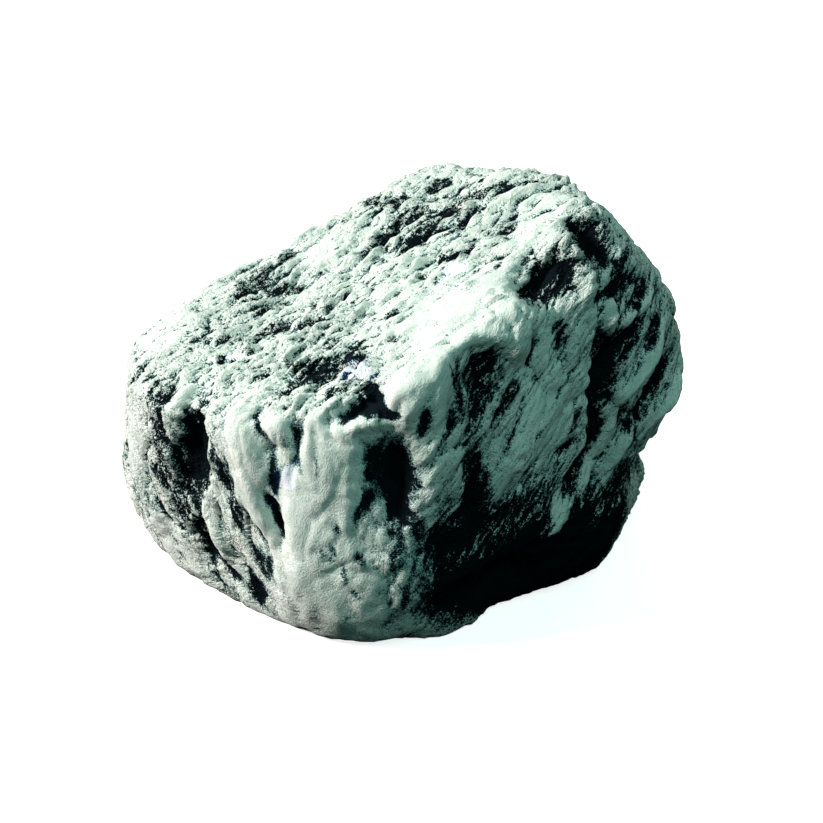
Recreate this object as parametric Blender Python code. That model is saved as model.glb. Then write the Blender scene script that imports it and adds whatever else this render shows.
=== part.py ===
"""Howlite: one rough, free-standing stone, about 71 mm long.

Runs on its own in Blender 4.5, from the Text Editor or in the background.
Lengths below are millimetres; the finished mesh is in metres, with +Z up and +X
along the stone's length.  The origin is the middle of its footprint, on the level
patch that it rests on.

The stone is a block with worn edges.  Broken faces stand round a heart point inside
it, each given by the way it looks and its distance.  Lobes rise from those faces and
grooves and pits sink into them, and long lenses of stone, laid along the grain of each
side, roughen the whole.
"""
import bmesh
import bpy
import numpy as np

for old in list(bpy.data.objects):
    bpy.data.objects.remove(old)

NODE = "howlite_stone"
MM = 0.001
HEART = np.array((1.5, -2.7, 22.0))
GRID_LOW = np.array((-35.0, -25.5, -10.0))
GRID_HIGH = np.array((35.0, 25.5, 26.0))
GRID_CELLS = (38, 27, 19)
EDGE_SHARPNESS = 22
TURN_SOFTNESS = 8
SLIDES = 4

# Broken faces: compass bearing from +X and slope above the level, both in degrees,
# then the distance from the heart.
FACES = {
    "top": (211, 67, 17.2),
    "left": (188, 4, 34.6),
    "front_left": (228, -6, 25.9),
    "nose": (262, 4, 21.5),
    "front_right": (306, 9, 19.0),
    "front_foot": (300, -30, 25.2),
    "shoulder": (4, 38, 33.6),
    "right_end": (346, 8, 33.6),
    "right_foot": (342, -12, 29.0),
    "back_left": (117, 14, 23.6),
    "back_right": (60, 13, 24.6),
    "back": (88, 8, 27.0),
    "back_foot": (95, -30, 31.0),
    "left_foot": (195, -38, 37.4),
    "bottom": (0, -90, 22.6),
}

# Lobes (height above 0) and hollows (below 0).  Each row gives its place right of and
# above its face's middle, the turn of its long axis in degrees, its half length, half
# width and height, and how flat its crown is.
FORMS = {
    "top": (
        (-5.4, 14.5, 89, 8.5, 4.6, -0.7, 1.2),
        (-12.1, -5.3, 90, 6.5, 4.5, -0.6, 1.2),
        (6.3, -9.6, 65, 4.0, 2.2, -0.6, 1.2),
        (3.7, 29.6, 90, 3.2, 2.6, -1.3, 1.2),
    ),
    "left": (
        (3.0, -12.0, 90, 8.0, 8.0, 1.4, 1.0),
    ),
    "front_left": (
        (-12.2, 3.0, 84, 7.2, 2.6, -2.8, 1.8),
    ),
    "nose": (
        (0.6, 1.4, 90, 5.2, 3.0, -2.2, 1.1),
        (-4.0, -12.0, 90, 8.0, 8.0, 1.2, 1.0),
        (-8.0, -25.0, 0, 7.0, 6.0, -1.2, 1.2),
        (-9.6, -8.0, 96, 10.0, 3.6, 0.7, 1.1),
        (-5.4, 1.2, 88, 5.6, 3.0, 0.8, 1.1),
    ),
    "front_right": (
        (-2.4, 10.3, 78, 4.8, 2.2, -2.2, 1.4),
        (-8.4, -8.7, 72, 6.0, 3.6, -2.2, 1.2),
        (6.0, 1.6, 50, 5.2, 3.0, 0.8, 1.6),
        (1.3, -2.2, 50, 3.8, 2.2, 0.8, 1.6),
        (7.9, 19.8, 59, 3.9, 3.6, -4.4, 1.5),
        (16.3, 21.9, 113, 4.0, 2.5, -3.8, 1.4),
    ),
    "front_foot": (
        (1.0, -4.0, 10, 7.0, 3.5, -2.4, 1.2),
        (2.0, 0.0, 0, 22.0, 9.0, -0.5, 1.5),
        (-4.0, -9.0, 0, 5.5, 4.0, 1.8, 1.3),
    ),
    "right_end": (
        (-3.0, 8.0, 75, 13.0, 8.0, 2.6, 1.6),
    ),
    "right_foot": (
        (12.5, -5.5, 157, 9.0, 3.8, -2.4, 1.5),
        (12.6, 6.5, 0, 7.0, 3.0, 0.9, 1.4),
        (20.1, -7.8, 90, 5.0, 5.0, -1.5, 1.2),
    ),
    "back_right": (
        (-4.0, 6.0, 105, 5.0, 2.6, -2.8, 1.4),
        (6.0, -3.0, 100, 7.5, 3.2, 1.5, 1.6),
        (-1.0, -13.0, 20, 7.0, 3.4, 1.3, 1.6),
        (10.0, 9.0, 120, 5.0, 2.8, -1.6, 1.2),
    ),
    "back_left": (
        (-5.0, 3.0, 72, 8.0, 3.6, 1.6, 1.6),
        (7.0, -2.0, 64, 4.5, 2.6, -2.6, 1.4),
        (14.0, -7.0, 80, 7.0, 3.2, 1.3, 1.6),
        (-1.0, -11.0, 130, 6.0, 2.6, -1.6, 1.2),
    ),
}

# Each side: the bearing and slope that it looks to, the way its lenses run, the length,
# width and depth of a lens, the height of its crown and its step up or down.
GRAINS = {
    "top": ((211, 67), (0.81, 0.42, 0.4), (9.0, 3.6, 4.0), 0.8, 0.6),
    "left": ((210, -3), (0.34, -0.23, -0.91), (11.0, 3.2, 4.5), 1.0, 0.8),
    "nose": ((262, 4), (0.05, -0.1, -1.0), (10.0, 5.0, 5.5), 0.5, 0.1),
    "flank": ((306, 9), (0.5, 0.46, 0.73), (10.0, 3.6, 5.5), 1.0, 0.5),
    "end": ((350, 10), (0.1, 0.5, 0.86), (9.0, 3.2, 4.0), 1.1, 0.5),
    "back": ((95, 10), (0.85, 0.0, 0.5), (10.0, 4.0, 5.0), 1.3, 0.8),
    "under": ((0, -90), (0.7, 0.7, 0.0), (9.0, 4.0, 5.0), 0.6, 0.3),
}
GRAIN_FOCUS = 12
SWAY_LENGTH = 8.0
SWAY = np.array((2.5, 1.6, 1.8))

STONE_COLOUR = (0.80, 0.83, 0.80, 1.0)
STONE_ROUGHNESS = 0.6


def outward(bearing, slope):
    """Unit vector that looks to a compass bearing, raised by a slope."""
    turn, rise = np.radians((bearing, slope))
    return np.array((np.cos(turn) * np.cos(rise), np.sin(turn) * np.cos(rise), np.sin(rise)))


FACE_WAYS = np.array([outward(bearing, slope) for bearing, slope, _ in FACES.values()])
FACE_DISTANCES = np.array([distance for _, _, distance in FACES.values()])


def box_grid():
    """Evenly spaced points on the six sides of a box, welded along its edges, and the quads
    between them, wound to look outward."""
    points = []
    quads = []
    count = 0
    for axis in range(3):
        one = (axis + 1) % 3
        two = (axis + 2) % 3
        steps = (np.linspace(-1, 1, GRID_CELLS[one] + 1), np.linspace(-1, 1, GRID_CELLS[two] + 1))
        across, along = np.meshgrid(*steps, indexing="ij")
        number = np.arange(across.size).reshape(across.shape)
        corners = (number[:-1, :-1], number[1:, :-1], number[1:, 1:], number[:-1, 1:])
        patch = np.stack(corners, axis=-1).reshape(-1, 4)
        for side in (1, -1):
            grid = np.empty(across.shape + (3,))
            grid[..., axis] = side
            grid[..., one] = across
            grid[..., two] = along
            quads.append((patch if side > 0 else patch[:, ::-1]) + count)
            points.append(grid.reshape(-1, 3))
            count += across.size
    points = GRID_LOW + (GRID_HIGH - GRID_LOW) * (np.concatenate(points) + 1) / 2
    _, first, place = np.unique(points.round(5), axis=0, return_index=True, return_inverse=True)
    return points[first], place.reshape(-1)[np.concatenate(quads)]


def block(ways):
    """Worn block: points at 1/g along each way, g being the high-power mean over the faces
    of (way . face) / distance, and an outward direction that turns softly over its edges."""
    reach = np.clip(ways @ FACE_WAYS.T / FACE_DISTANCES, 0.0, None)
    most = reach.max(axis=1, keepdims=True)
    share = reach / most
    gauge = most[:, 0] * (share ** EDGE_SHARPNESS).sum(axis=1) ** (1 / EDGE_SHARPNESS)
    normals = share ** TURN_SOFTNESS @ (FACE_WAYS / FACE_DISTANCES[:, None])
    normals /= np.linalg.norm(normals, axis=1, keepdims=True)
    return ways / gauge[:, None], normals


def neighbours_mean(values, quads):
    """Each point's mean of itself and the points that it shares an edge with."""
    pairs = np.concatenate([quads[:, (k, (k + 1) % 4)] for k in range(4)])
    one, two = np.unique(np.sort(pairs, axis=1), axis=0).T
    count = len(values)
    columns = []
    for column in values.T:
        columns.append(column + np.bincount(one, column[two], count) + np.bincount(two, column[one], count))
    number = 1 + np.bincount(one, minlength=count) + np.bincount(two, minlength=count)
    return np.stack(columns, axis=1) / number[:, None]


def face_frame(name):
    """Middle of a face and its right, up and outward directions."""
    bearing, slope, distance = FACES[name]
    out = outward(bearing, slope)
    right = np.cross((0.0, 0.0, 1.0), out)
    right /= np.linalg.norm(right)
    return out * distance, right, np.cross(out, right), out


def forms_height(points):
    """Sum of the lobes and hollows: height * exp(-(r^2)^crown), r being the distance from
    a form's middle in units of its half sizes."""
    height = np.zeros(len(points))
    for face, rows in FORMS.items():
        middle, right_way, up_way, out = face_frame(face)
        for right, up, turn, half_length, half_width, rise, crown in rows:
            angle = np.radians(turn)
            long_way = np.cos(angle) * right_way + np.sin(angle) * up_way
            cross_way = np.cross(out, long_way)
            offset = points - (middle + right * right_way + up * up_way)
            squares = (offset @ long_way / half_length) ** 2
            squares += (offset @ cross_way / half_width) ** 2
            squares += (offset @ out / max(half_length, half_width)) ** 2
            height += rise * np.exp(-squares ** crown)
    return height


def lattice_number(cell, seed):
    """Repeatable number from 0 to 1 for each lattice cell."""
    mixed = cell @ np.array((73856093, 19349663, 83492791)) + seed * 2654435761
    for factor in (1274126177, 2246822519):
        mixed = (mixed ^ (mixed >> 13)) * factor & 0x7FFFFFFF
    return ((mixed ^ (mixed >> 12)) & 0xFFFFFF) / 0xFFFFFF


SLOPES = np.array([(x, y, z) for x, y, z in np.ndindex(3, 3, 3) if (x, y, z).count(1) == 1]) - 1.0


def lattice_noise(points, seed):
    """Smooth noise, about -1 to 1: one slope per lattice corner, blended by a quintic step."""
    cell = np.floor(points).astype(np.int64)
    inside = points - cell
    blend = inside ** 3 * (inside * (inside * 6 - 15) + 10)
    total = np.zeros(len(points))
    for corner in np.ndindex(2, 2, 2):
        weight = np.where(corner, blend, 1 - blend).prod(axis=1)
        slope = SLOPES[(lattice_number(cell + corner, seed) * (len(SLOPES) - 0.001)).astype(int)]
        total += weight * ((inside - corner) * slope).sum(axis=1)
    return total


def sway(points, length, seed):
    """Three smooth noises, to bend the lenses."""
    return np.stack([lattice_noise(points / length, seed + k) for k in range(3)], axis=1)


def lens_height(points, size, crown_rise, step_rise, seed):
    """Lenses round one seed point in every lattice cell: each falls with the square of the
    distance to its middle, and has its own step up or down."""
    points = points / size
    cell = np.floor(points).astype(np.int64)
    nearest = np.full(len(points), 9.0)
    number = np.zeros(len(points))
    for shift in np.ndindex(3, 3, 3):
        other = cell + shift - 1
        place = np.stack([lattice_number(other, seed + k) for k in (1, 2, 3)], axis=1)
        distance = np.linalg.norm(points - other - place, axis=1)
        number = np.where(distance < nearest, lattice_number(other, seed + 9), number)
        nearest = np.minimum(distance, nearest)
    return crown_rise * (0.45 - nearest ** 2) + step_rise * (number - 0.5)


def relief_height(points, normals):
    """Each side's lenses, blended by how squarely the surface looks its way."""
    ways = np.array([outward(*looks) for looks, *_ in GRAINS.values()])
    share = np.exp(GRAIN_FOCUS * (normals @ ways.T))
    share /= share.sum(axis=1, keepdims=True)
    bend = sway(points, SWAY_LENGTH, 11)
    height = np.zeros(len(points))
    for index, (_, grain, size, crown_rise, step_rise) in enumerate(GRAINS.values()):
        out = ways[index]
        long_way = np.array(grain) - (np.array(grain) @ out) * out
        long_way /= np.linalg.norm(long_way)
        axes = np.stack((long_way, np.cross(out, long_way), out), axis=1)
        bent = points @ axes + bend * SWAY
        height += share[:, index] * lens_height(bent, size, crown_rise, step_rise, 100 * index + 3)
    return height


def even_grid():
    """The box grid slid along the stone, so that its cells are about even in size on the
    lobes and down the walls of the pits: each slide moves a point level towards the mean
    of its neighbours."""
    ways, quads = box_grid()
    for _ in range(SLIDES):
        points, normals = block(ways)
        formed = points + normals * forms_height(points)[:, None]
        slide = neighbours_mean(formed, quads) - formed
        slide -= (slide * normals).sum(axis=1, keepdims=True) * normals
        ways = points + slide
    return ways, quads


def stone_surface():
    """Points in metres and quads of the whole stone, cut level where it rests."""
    ways, quads = even_grid()
    points, normals = block(ways)
    height = forms_height(points)[:, None]
    height += relief_height(points + normals * height, normals)[:, None]
    points = HEART + points + normals * neighbours_mean(height, quads)
    points[:, 2] = np.maximum(points[:, 2], 0.0)
    return points * MM, quads


def stone_material():
    """Chalky white stone with a faint green cast."""
    material = bpy.data.materials.new("howlite")
    material.use_nodes = True
    shader = material.node_tree.nodes["Principled BSDF"]
    shader.inputs["Base Color"].default_value = STONE_COLOUR
    shader.inputs["Roughness"].default_value = STONE_ROUGHNESS
    shader.inputs["Metallic"].default_value = 0.0
    return material


def make_stone():
    """The one solid, in triangles, with every face turned outward."""
    points, quads = stone_surface()
    mesh = bpy.data.meshes.new(NODE)
    mesh.from_pydata(points.tolist(), [], quads.tolist())
    surface = bmesh.new()
    surface.from_mesh(mesh)
    bmesh.ops.triangulate(surface, faces=surface.faces)
    bmesh.ops.recalc_face_normals(surface, faces=surface.faces)
    surface.to_mesh(mesh)
    surface.free()
    mesh.shade_smooth()
    mesh.materials.append(stone_material())
    stone = bpy.data.objects.new(NODE, mesh)
    bpy.context.scene.collection.objects.link(stone)


make_stone()
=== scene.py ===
import math
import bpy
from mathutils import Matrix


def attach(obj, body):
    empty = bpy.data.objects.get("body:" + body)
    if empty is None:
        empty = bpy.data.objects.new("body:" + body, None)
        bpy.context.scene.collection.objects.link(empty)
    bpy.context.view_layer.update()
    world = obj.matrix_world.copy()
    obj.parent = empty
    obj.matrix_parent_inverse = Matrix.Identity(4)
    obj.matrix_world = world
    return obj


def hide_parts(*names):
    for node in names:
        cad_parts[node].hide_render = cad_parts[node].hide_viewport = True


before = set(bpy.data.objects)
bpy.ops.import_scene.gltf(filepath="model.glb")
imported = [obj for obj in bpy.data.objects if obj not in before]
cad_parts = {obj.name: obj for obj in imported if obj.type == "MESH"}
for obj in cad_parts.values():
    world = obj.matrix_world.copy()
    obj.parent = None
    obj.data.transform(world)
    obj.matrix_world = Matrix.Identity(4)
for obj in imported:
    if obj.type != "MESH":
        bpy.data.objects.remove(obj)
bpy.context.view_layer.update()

from types import SimpleNamespace

import bpy
import numpy as np
from mathutils import Vector

# ---------------------------------------------------------------------------------
# The camera.  It stands in front of the stone and looks down on it by 30 degrees,
# far enough off that the stone's near and far corners keep about one scale.
# ---------------------------------------------------------------------------------
MM = 0.001
CAMERA_LENS = 100.0
CAMERA_RISE = math.radians(30.0)
CAMERA_DISTANCE = 0.285
CAMERA_AIM = Vector((1.5, -2.7, 21.0)) * MM


def make_camera():
    """A camera on the line that rises from its aim, towards -Y, by the camera's angle."""
    back = Vector((0.0, -math.cos(CAMERA_RISE), math.sin(CAMERA_RISE)))
    data = bpy.data.cameras.new("camera")
    data.lens = CAMERA_LENS
    data.clip_start = 0.01
    camera = bpy.data.objects.new("camera", data)
    camera.location = CAMERA_AIM + back * CAMERA_DISTANCE
    camera.rotation_euler = (-back).to_track_quat("-Z", "Y").to_euler()
    bpy.context.scene.collection.objects.link(camera)
    bpy.context.scene.camera = camera


make_camera()

# ---------------------------------------------------------------------------------
# The block.  Howlite grows as a solid nodule and breaks into blunt blocks: this one
# has a sloping top, a blunt nose in front, and a level patch that it rests on.
# Lengths are in millimetres, from a heart point inside the stone.
# ---------------------------------------------------------------------------------
HEART = np.array((1.5, -2.7, 22.0))
GRID_LOW = np.array((-35.0, -25.5, -10.0))
GRID_HIGH = np.array((35.0, 25.5, 26.0))
GRID_CELLS = (175, 127, 90)
EDGE_SHARPNESS = 22
TURN_SOFTNESS = 8

# Broken faces: compass bearing from +X and slope above the level, both in degrees,
# then the distance from the heart.
FACES = {
    "top": (211, 67, 17.2),
    "left": (188, 4, 34.6),
    "front_left": (228, -6, 25.9),
    "nose": (262, 4, 21.5),
    "front_right": (306, 9, 19.0),
    "front_foot": (300, -30, 25.2),
    "shoulder": (4, 38, 33.6),
    "right_end": (346, 8, 33.6),
    "right_foot": (342, -12, 29.0),
    "back_left": (117, 14, 23.6),
    "back_right": (60, 13, 24.6),
    "back": (88, 8, 27.0),
    "back_foot": (95, -30, 31.0),
    "left_foot": (195, -38, 37.4),
    "bottom": (0, -90, 22.6),
}


def outward(bearing, slope):
    """Unit vector that looks to a compass bearing, raised by a slope."""
    turn, rise = np.radians((bearing, slope))
    return np.array((np.cos(turn) * np.cos(rise), np.sin(turn) * np.cos(rise), np.sin(rise)))


FACE_WAYS = np.array([outward(bearing, slope) for bearing, slope, _ in FACES.values()])
FACE_DISTANCES = np.array([distance for _, _, distance in FACES.values()])


def box_grid():
    """Evenly spaced points on the six sides of a box, welded along its edges, and the quads
    between them, wound to look outward."""
    points = []
    quads = []
    count = 0
    for axis in range(3):
        one, two = (axis + 1) % 3, (axis + 2) % 3
        steps = (np.linspace(-1, 1, GRID_CELLS[one] + 1), np.linspace(-1, 1, GRID_CELLS[two] + 1))
        across, along = np.meshgrid(*steps, indexing="ij")
        number = np.arange(across.size).reshape(across.shape)
        corners = (number[:-1, :-1], number[1:, :-1], number[1:, 1:], number[:-1, 1:])
        patch = np.stack(corners, axis=-1).reshape(-1, 4)
        for side in (1, -1):
            grid = np.empty(across.shape + (3,))
            grid[..., axis] = side
            grid[..., one] = across
            grid[..., two] = along
            quads.append((patch if side > 0 else patch[:, ::-1]) + count)
            points.append(grid.reshape(-1, 3))
            count += across.size
    points = GRID_LOW + (GRID_HIGH - GRID_LOW) * (np.concatenate(points) + 1) / 2
    _, first, place = np.unique(points.round(5), axis=0, return_index=True, return_inverse=True)
    return points[first], place.reshape(-1)[np.concatenate(quads)]


def block(ways):
    """Worn block: points at 1/g along each way, g being the high-power mean over the faces
    of (way . face) / distance, and an outward direction that turns softly over its edges."""
    reach = np.clip(ways @ FACE_WAYS.T / FACE_DISTANCES, 0.0, None)
    most = reach.max(axis=1, keepdims=True)
    share = reach / most
    gauge = most[:, 0] * (share ** EDGE_SHARPNESS).sum(axis=1) ** (1 / EDGE_SHARPNESS)
    normals = share ** TURN_SOFTNESS @ (FACE_WAYS / FACE_DISTANCES[:, None])
    normals /= np.linalg.norm(normals, axis=1, keepdims=True)
    return ways / gauge[:, None], normals


def neighbour_pairs(quads):
    """Each edge of the quads, once."""
    pairs = np.concatenate([quads[:, (k, (k + 1) % 4)] for k in range(4)])
    return np.unique(np.sort(pairs, axis=1), axis=0)


def spread(values, rounds):
    """Values evened out: each point takes the mean of itself and its neighbours."""
    count = len(values)
    columns = values.reshape(count, -1).T.copy()
    number = np.bincount(stone_pairs.ravel(), minlength=count) + 1
    one, two = stone_pairs.T
    for _ in range(rounds):
        for column in columns:
            total = np.bincount(one, column[two], count) + np.bincount(two, column[one], count)
            column[:] = (column + total) / number
    return columns.T.reshape(values.shape)


grid_points, stone_quads = box_grid()
stone_pairs = neighbour_pairs(stone_quads)

# ---------------------------------------------------------------------------------
# Lobes, grooves and pits.  The nodule grew as cauliflower lobes and plates, with dark
# mineral left in the gaps, so lobes stand pale and gaps are dark.
# ---------------------------------------------------------------------------------
# Rows: right of and above the face's middle, turn of the long axis in degrees, half
# length, half width, height (below 0 for a gap), how flat the crown is, and how much
# dark mineral lies there, 0 to 1 (below 0 keeps it clean).  A form reaches in and out of
# its face by at least the least depth.
LEAST_DEPTH = 3.0
FORMS = {
    "top": (
        (-5.4, 14.5, 89, 8.5, 4.6, -0.7, 1.2, 0.2),
        (-12.1, -5.3, 90, 6.5, 4.5, -0.6, 1.2, 0.2),
        (6.3, -9.6, 65, 4.0, 2.2, -0.6, 1.2, 0.2),
        (-14.9, -16.0, 81, 2.6, 1.6, -0.4, 1.2, 0.1),
        (-2.0, 2.0, 85, 4.0, 2.0, -0.3, 1.2, 0.1),
        (3.7, 29.6, 90, 3.2, 2.6, -1.3, 1.2, 0.0),
    ),
    "left": (
        (3.0, -12.0, 90, 8.0, 8.0, 1.4, 1.0, 0.0),
    ),
    "front_left": (
        (-12.2, 3.0, 84, 7.2, 2.6, -2.8, 1.8, 0.2),
        (-11.5, -10.5, 80, 3.4, 1.8, -1.6, 1.3, 0.0),
        (-6.7, 0.1, 80, 3.2, 1.6, -0.9, 1.2, 0.0),
        (-8.4, -13.4, 145, 2.8, 1.0, -1.0, 1.0, 0.0),
        (-4.0, -14.3, 107, 2.2, 1.2, -0.8, 1.0, 0.0),
        (-2.3, -4.9, 122, 3.0, 1.0, -0.8, 1.0, 0.0),
        (-2.6, 3.9, 104, 9.5, 2.1, 1.0, 1.6, -0.7),
        (-8.6, -9.5, 110, 3.6, 1.6, 1.0, 1.4, -0.5),
        (-14.5, 9.6, 110, 3.4, 1.8, 0.7, 1.5, -0.4),
        (0.2, 8.0, 126, 3.0, 0.9, -1.2, 1.0, 0.2),
        (0.6, 10.9, 94, 3.4, 1.7, 0.6, 1.5, -0.5),
        (3.1, 9.8, 92, 4.4, 0.9, -1.8, 1.0, 0.2),
        (0.6, -1.6, 111, 4.2, 0.8, -1.2, 1.0, 0.2),
    ),
    "nose": (
        (-12.7, -5.6, 98, 8.0, 1.2, -0.6, 1.0, 0.4),
        (0.6, 1.4, 90, 5.2, 3.0, -2.2, 1.1, 0.1),
        (1.5, -2.6, 88, 3.4, 1.4, -1.0, 1.1, 0.1),
        (-0.9, 10.1, 135, 2.6, 0.8, -0.7, 1.0, 0.1),
        (-3.6, 9.5, 30, 3.4, 1.2, -2.2, 1.2, 0.2),
        (-2.4, 7.2, 10, 2.6, 0.9, 0.5, 1.2, 0.2),
        (-4.0, -12.0, 90, 8.0, 8.0, 1.2, 1.0, -0.5),
        (-8.0, -25.0, 0, 7.0, 6.0, -1.2, 1.2, -0.3),
        (-9.6, -8.0, 96, 10.0, 3.6, 0.7, 1.1, -0.4),
        (-5.4, 1.2, 88, 5.6, 3.0, 0.8, 1.1, -0.5),
    ),
    "front_right": (
        (-13.2, 11.3, 71, 2.8, 1.3, 0.8, 1.5, -0.7),
        (-11.8, 10.1, 71, 4.0, 1.8, 0.8, 1.5, -0.5),
        (-8.1, 10.4, 72, 4.2, 1.8, 1.0, 1.5, -0.6),
        (-6.5, 8.2, 72, 3.5, 0.9, -1.0, 1.0, 0.2),
        (-10.8, 6.0, 74, 1.9, 1.0, -0.5, 1.2, 0.0),
        (-13.2, 9.2, 66, 2.2, 0.6, -0.5, 1.0, 0.1),
        (-2.4, 10.3, 78, 4.8, 2.2, -2.2, 1.4, 0.3),
        (-4.2, -1.6, 80, 6.0, 1.2, -1.4, 1.0, 0.3),
        (-3.6, 3.4, 42, 2.6, 0.9, 1.0, 1.2, -0.6),
        (-0.9, 13.6, 163, 2.4, 1.6, 1.3, 1.4, -0.8),
        (3.4, 13.0, 72, 3.4, 2.0, 1.3, 1.5, -0.4),
        (4.9, 10.2, 66, 2.0, 0.6, -0.8, 1.0, 0.1),
        (9.1, 11.5, 83, 2.4, 0.9, -1.0, 1.0, 0.1),
        (-8.4, -8.7, 72, 6.0, 3.6, -2.2, 1.2, 0.4),
        (6.0, 1.6, 50, 5.2, 3.0, 0.8, 1.6, -0.3),
        (1.3, -2.2, 50, 3.8, 2.2, 0.8, 1.6, -0.2),
        (8.9, -3.0, 20, 2.2, 0.6, -0.7, 1.0, 0.0),
        (14.0, 2.0, 88, 8.5, 1.2, -2.6, 1.0, 0.3),
        (11.0, -7.0, 42, 4.5, 1.1, -1.8, 1.0, 0.3),
        (7.0, -11.6, 50, 3.2, 1.9, 0.8, 1.6, -1.2),
        (7.9, 19.8, 59, 3.9, 3.6, -4.4, 1.5, 0.4),
        (10.2, 21.1, 173, 3.6, 1.0, 1.0, 1.2, -0.5),
        (16.3, 21.9, 113, 4.0, 2.5, -3.8, 1.4, 0.4),
        (14.1, 22.5, 127, 3.3, 1.0, 1.0, 1.3, -0.5),
        (13.2, 16.8, 65, 2.7, 1.4, 1.4, 1.6, -0.3),
        (13.3, 12.1, 82, 1.8, 0.8, 0.6, 1.2, -0.3),
        (15.3, 12.2, 71, 2.3, 1.0, 1.6, 1.6, -0.7),
        (18.0, 7.4, 48, 5.0, 1.9, -1.5, 1.3, 0.1),
        (15.9, 6.0, 85, 4.5, 1.0, -1.2, 1.2, 0.2),
        (20.9, 4.2, 42, 5.4, 0.8, 1.6, 1.4, -1.1),
        (23.2, 0.4, 42, 4.4, 1.3, -2.0, 1.3, 0.2),
        (25.4, -2.0, 42, 4.6, 0.9, 1.2, 1.4, -0.7),
        (20.4, 11.7, 20, 3.6, 0.9, 1.2, 1.4, -0.8),
        (17.4, 15.3, 5, 3.0, 0.8, -1.0, 1.2, 0.2),
        (14.8, -4.3, 59, 3.8, 0.9, 1.0, 1.4, -0.8),
        (17.2, -6.0, 50, 3.2, 0.7, 0.8, 1.2, -0.6),
    ),
    "front_foot": (
        # Painted shade: these foot forms carry dark that stands in part for shade under the stone.
        (1.0, -4.0, 10, 7.0, 3.5, -2.4, 1.2, 0.5),
        (2.0, 0.0, 0, 22.0, 9.0, -0.5, 1.5, 0.4),
        (-4.0, -9.0, 0, 5.5, 4.0, 1.8, 1.3, 0.0),
    ),
    "right_end": (
        (-3.0, 8.0, 75, 13.0, 8.0, 2.6, 1.6, 0.0),
    ),
    "right_foot": (
        (12.5, -5.5, 157, 9.0, 3.8, -2.4, 1.5, 0.3),
        (12.6, 6.5, 0, 7.0, 3.0, 0.9, 1.4, 0.0),
        (20.1, -7.8, 90, 5.0, 5.0, -1.5, 1.2, 0.0),
    ),
    "back_right": (
        (-4.0, 6.0, 105, 5.0, 2.6, -2.8, 1.4, 1.0),
        (6.0, -3.0, 100, 7.5, 3.2, 1.5, 1.6, -0.3),
        (-1.0, -13.0, 20, 7.0, 3.4, 1.3, 1.6, -0.3),
        (10.0, 9.0, 120, 5.0, 2.8, -1.6, 1.2, 0.4),
    ),
    "back": (
        (0.0, -4.0, 84, 9.0, 1.6, -2.0, 1.0, 0.7),
    ),
    "back_left": (
        (-5.0, 3.0, 72, 8.0, 3.6, 1.6, 1.6, -0.4),
        (7.0, -2.0, 64, 4.5, 2.6, -2.6, 1.4, 1.0),
        (14.0, -7.0, 80, 7.0, 3.2, 1.3, 1.6, -0.3),
        (-1.0, -11.0, 130, 6.0, 2.6, -1.6, 1.2, 0.4),
    ),
}

# Plates that overlap like shingles: right, up, turn, half length, half width, and the rise
# of the broken long edge, on the left of the turn.  That edge falls off over the break's
# width, and bows back towards the plate's ends by a share of the half width.
BREAK_WIDTH = 0.8
PLATE_BOW = 0.6
PLATES = {
    "nose": (
        (-9.3, 6.5, 92, 4.6, 1.0, 0.4),
        (-7.4, 4.0, 90, 5.2, 1.6, 0.3),
        (-8.9, -10.0, 97, 9.5, 3.0, 0.4),
    ),
    "front_left": (
        (-5.2, 3.0, 104, 8.0, 1.2, 0.6),
        (-18.6, 5.0, 110, 5.0, 1.4, 0.6),
        (-20.0, -6.0, 125, 5.0, 1.8, 0.6),
        (-9.5, -6.0, 112, 5.0, 1.2, 0.5),
    ),
}
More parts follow.
